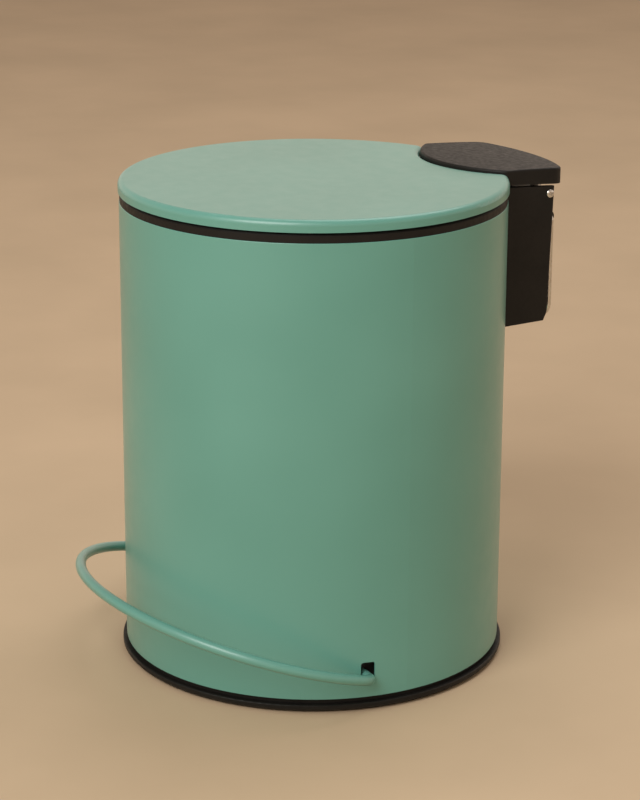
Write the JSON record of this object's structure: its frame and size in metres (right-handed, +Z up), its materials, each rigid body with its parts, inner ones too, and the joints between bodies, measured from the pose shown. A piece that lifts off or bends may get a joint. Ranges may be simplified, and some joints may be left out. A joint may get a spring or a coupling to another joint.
{
  "type": "pedal trash can",
  "caption": "Round pedal bin with a bowed wire pedal, a flat hinged lid with a black hinge cap, a rear hinge housing with a wire handle, and a lift-out bucket.",
  "frame": {"origin": "centre of the underside, on the body's axis at floor level", "axes": "+Z up; the pedal is at the front, towards -Y; the lid hinge and handle are at the back, towards +Y; the pedal axle and the lid hinge lie along X"},
  "size_m": [0.2202, 0.2688, 0.2623],
  "materials": {
    "sage_paint": "satin powder coat, sage green",
    "black_plastic": "matte black moulding",
    "liner_plastic": "fine-grained black moulding",
    "stainless": "polished stainless wire",
    "zinc_steel": "zinc-plated steel",
    "screw_steel": "bright plated screws",
    "nylon": "dark nylon",
    "rubber": "soft black rubber",
    "damper_body": "smooth dark grey moulding"
  },
  "bodies": {
    "body": {"base_pan": "black_plastic", "foot_ring": "rubber", "body_shell": "sage_paint", "rim_ring": "black_plastic", "hinge_housing": "black_plastic", "housing_screws": "screw_steel", "hinge_pin": "stainless", "pedal_bearing_left": "nylon", "pedal_bearing_right": "nylon", "bearing_screws": "screw_steel", "lever_buffers": "rubber", "rod_guide_lower": "nylon", "rod_guide_upper": "nylon", "guide_screws": "screw_steel", "damper_cylinder": "damper_body"},
    "lid": {"lid_shell": "sage_paint", "lid_liner": "liner_plastic", "hinge_cap": "black_plastic", "lid_bracket": "zinc_steel", "hinge_bushes": "nylon", "bracket_screws": "screw_steel", "cap_screws": "screw_steel", "lid_buffers": "rubber"},
    "pedal": {"pedal_bow": "sage_paint", "pedal_lever": "zinc_steel"},
    "rod": {"push_rod": "zinc_steel", "rod_pad": "nylon"},
    "damper_piston": {"damper_rod": "zinc_steel"},
    "handle": {"rear_handle": "stainless"},
    "bucket": {"inner_bucket": "liner_plastic"},
    "bail": {"bucket_bail": "zinc_steel", "bail_grip": "nylon"}
  },
  "joints": [
    {"name": "pedal_tilt", "type": "hinge", "parent": "body", "child": "pedal", "pos_m": [0, -0.0222, 0.0178], "axis": [1, 0, 0], "range_deg": [0, 13.4]},
    {"name": "rod_lift", "type": "slide", "parent": "body", "child": "rod", "axis": [0, 0, 1], "range_m": [0, 0.02186]},
    {"name": "lid_hinge", "type": "hinge", "parent": "body", "child": "lid", "pos_m": [0, 0.1232, 0.2464], "axis": [-1, 0, 0], "range_deg": [0, 80.01]},
    {"name": "damper_lift", "type": "slide", "parent": "body", "child": "damper_piston", "axis": [0, 0, 1], "range_m": [0, 0.02186]},
    {"name": "handle_swing", "type": "hinge", "parent": "body", "child": "handle", "pos_m": [0, 0.1323, 0.23], "axis": [1, 0, 0], "range_deg": [0, 100]},
    {"name": "bucket_lift", "type": "slide", "parent": "body", "child": "bucket", "axis": [0, 0, 1], "range_m": [0, 0.005]},
    {"name": "bail_swing", "type": "hinge", "parent": "bucket", "child": "bail", "pos_m": [0, 0, 0.2409], "axis": [-1, 0, 0], "range_deg": [0, 3.5]}
  ],
  "couplings": [
    {"joint": "lid_hinge", "follows": "pedal_tilt", "ratio": 5.9702},
    {"joint": "rod_lift", "follows": "pedal_tilt", "m_per_rad": 0.093448},
    {"joint": "damper_lift", "follows": "pedal_tilt", "m_per_rad": 0.093448}
  ]
}
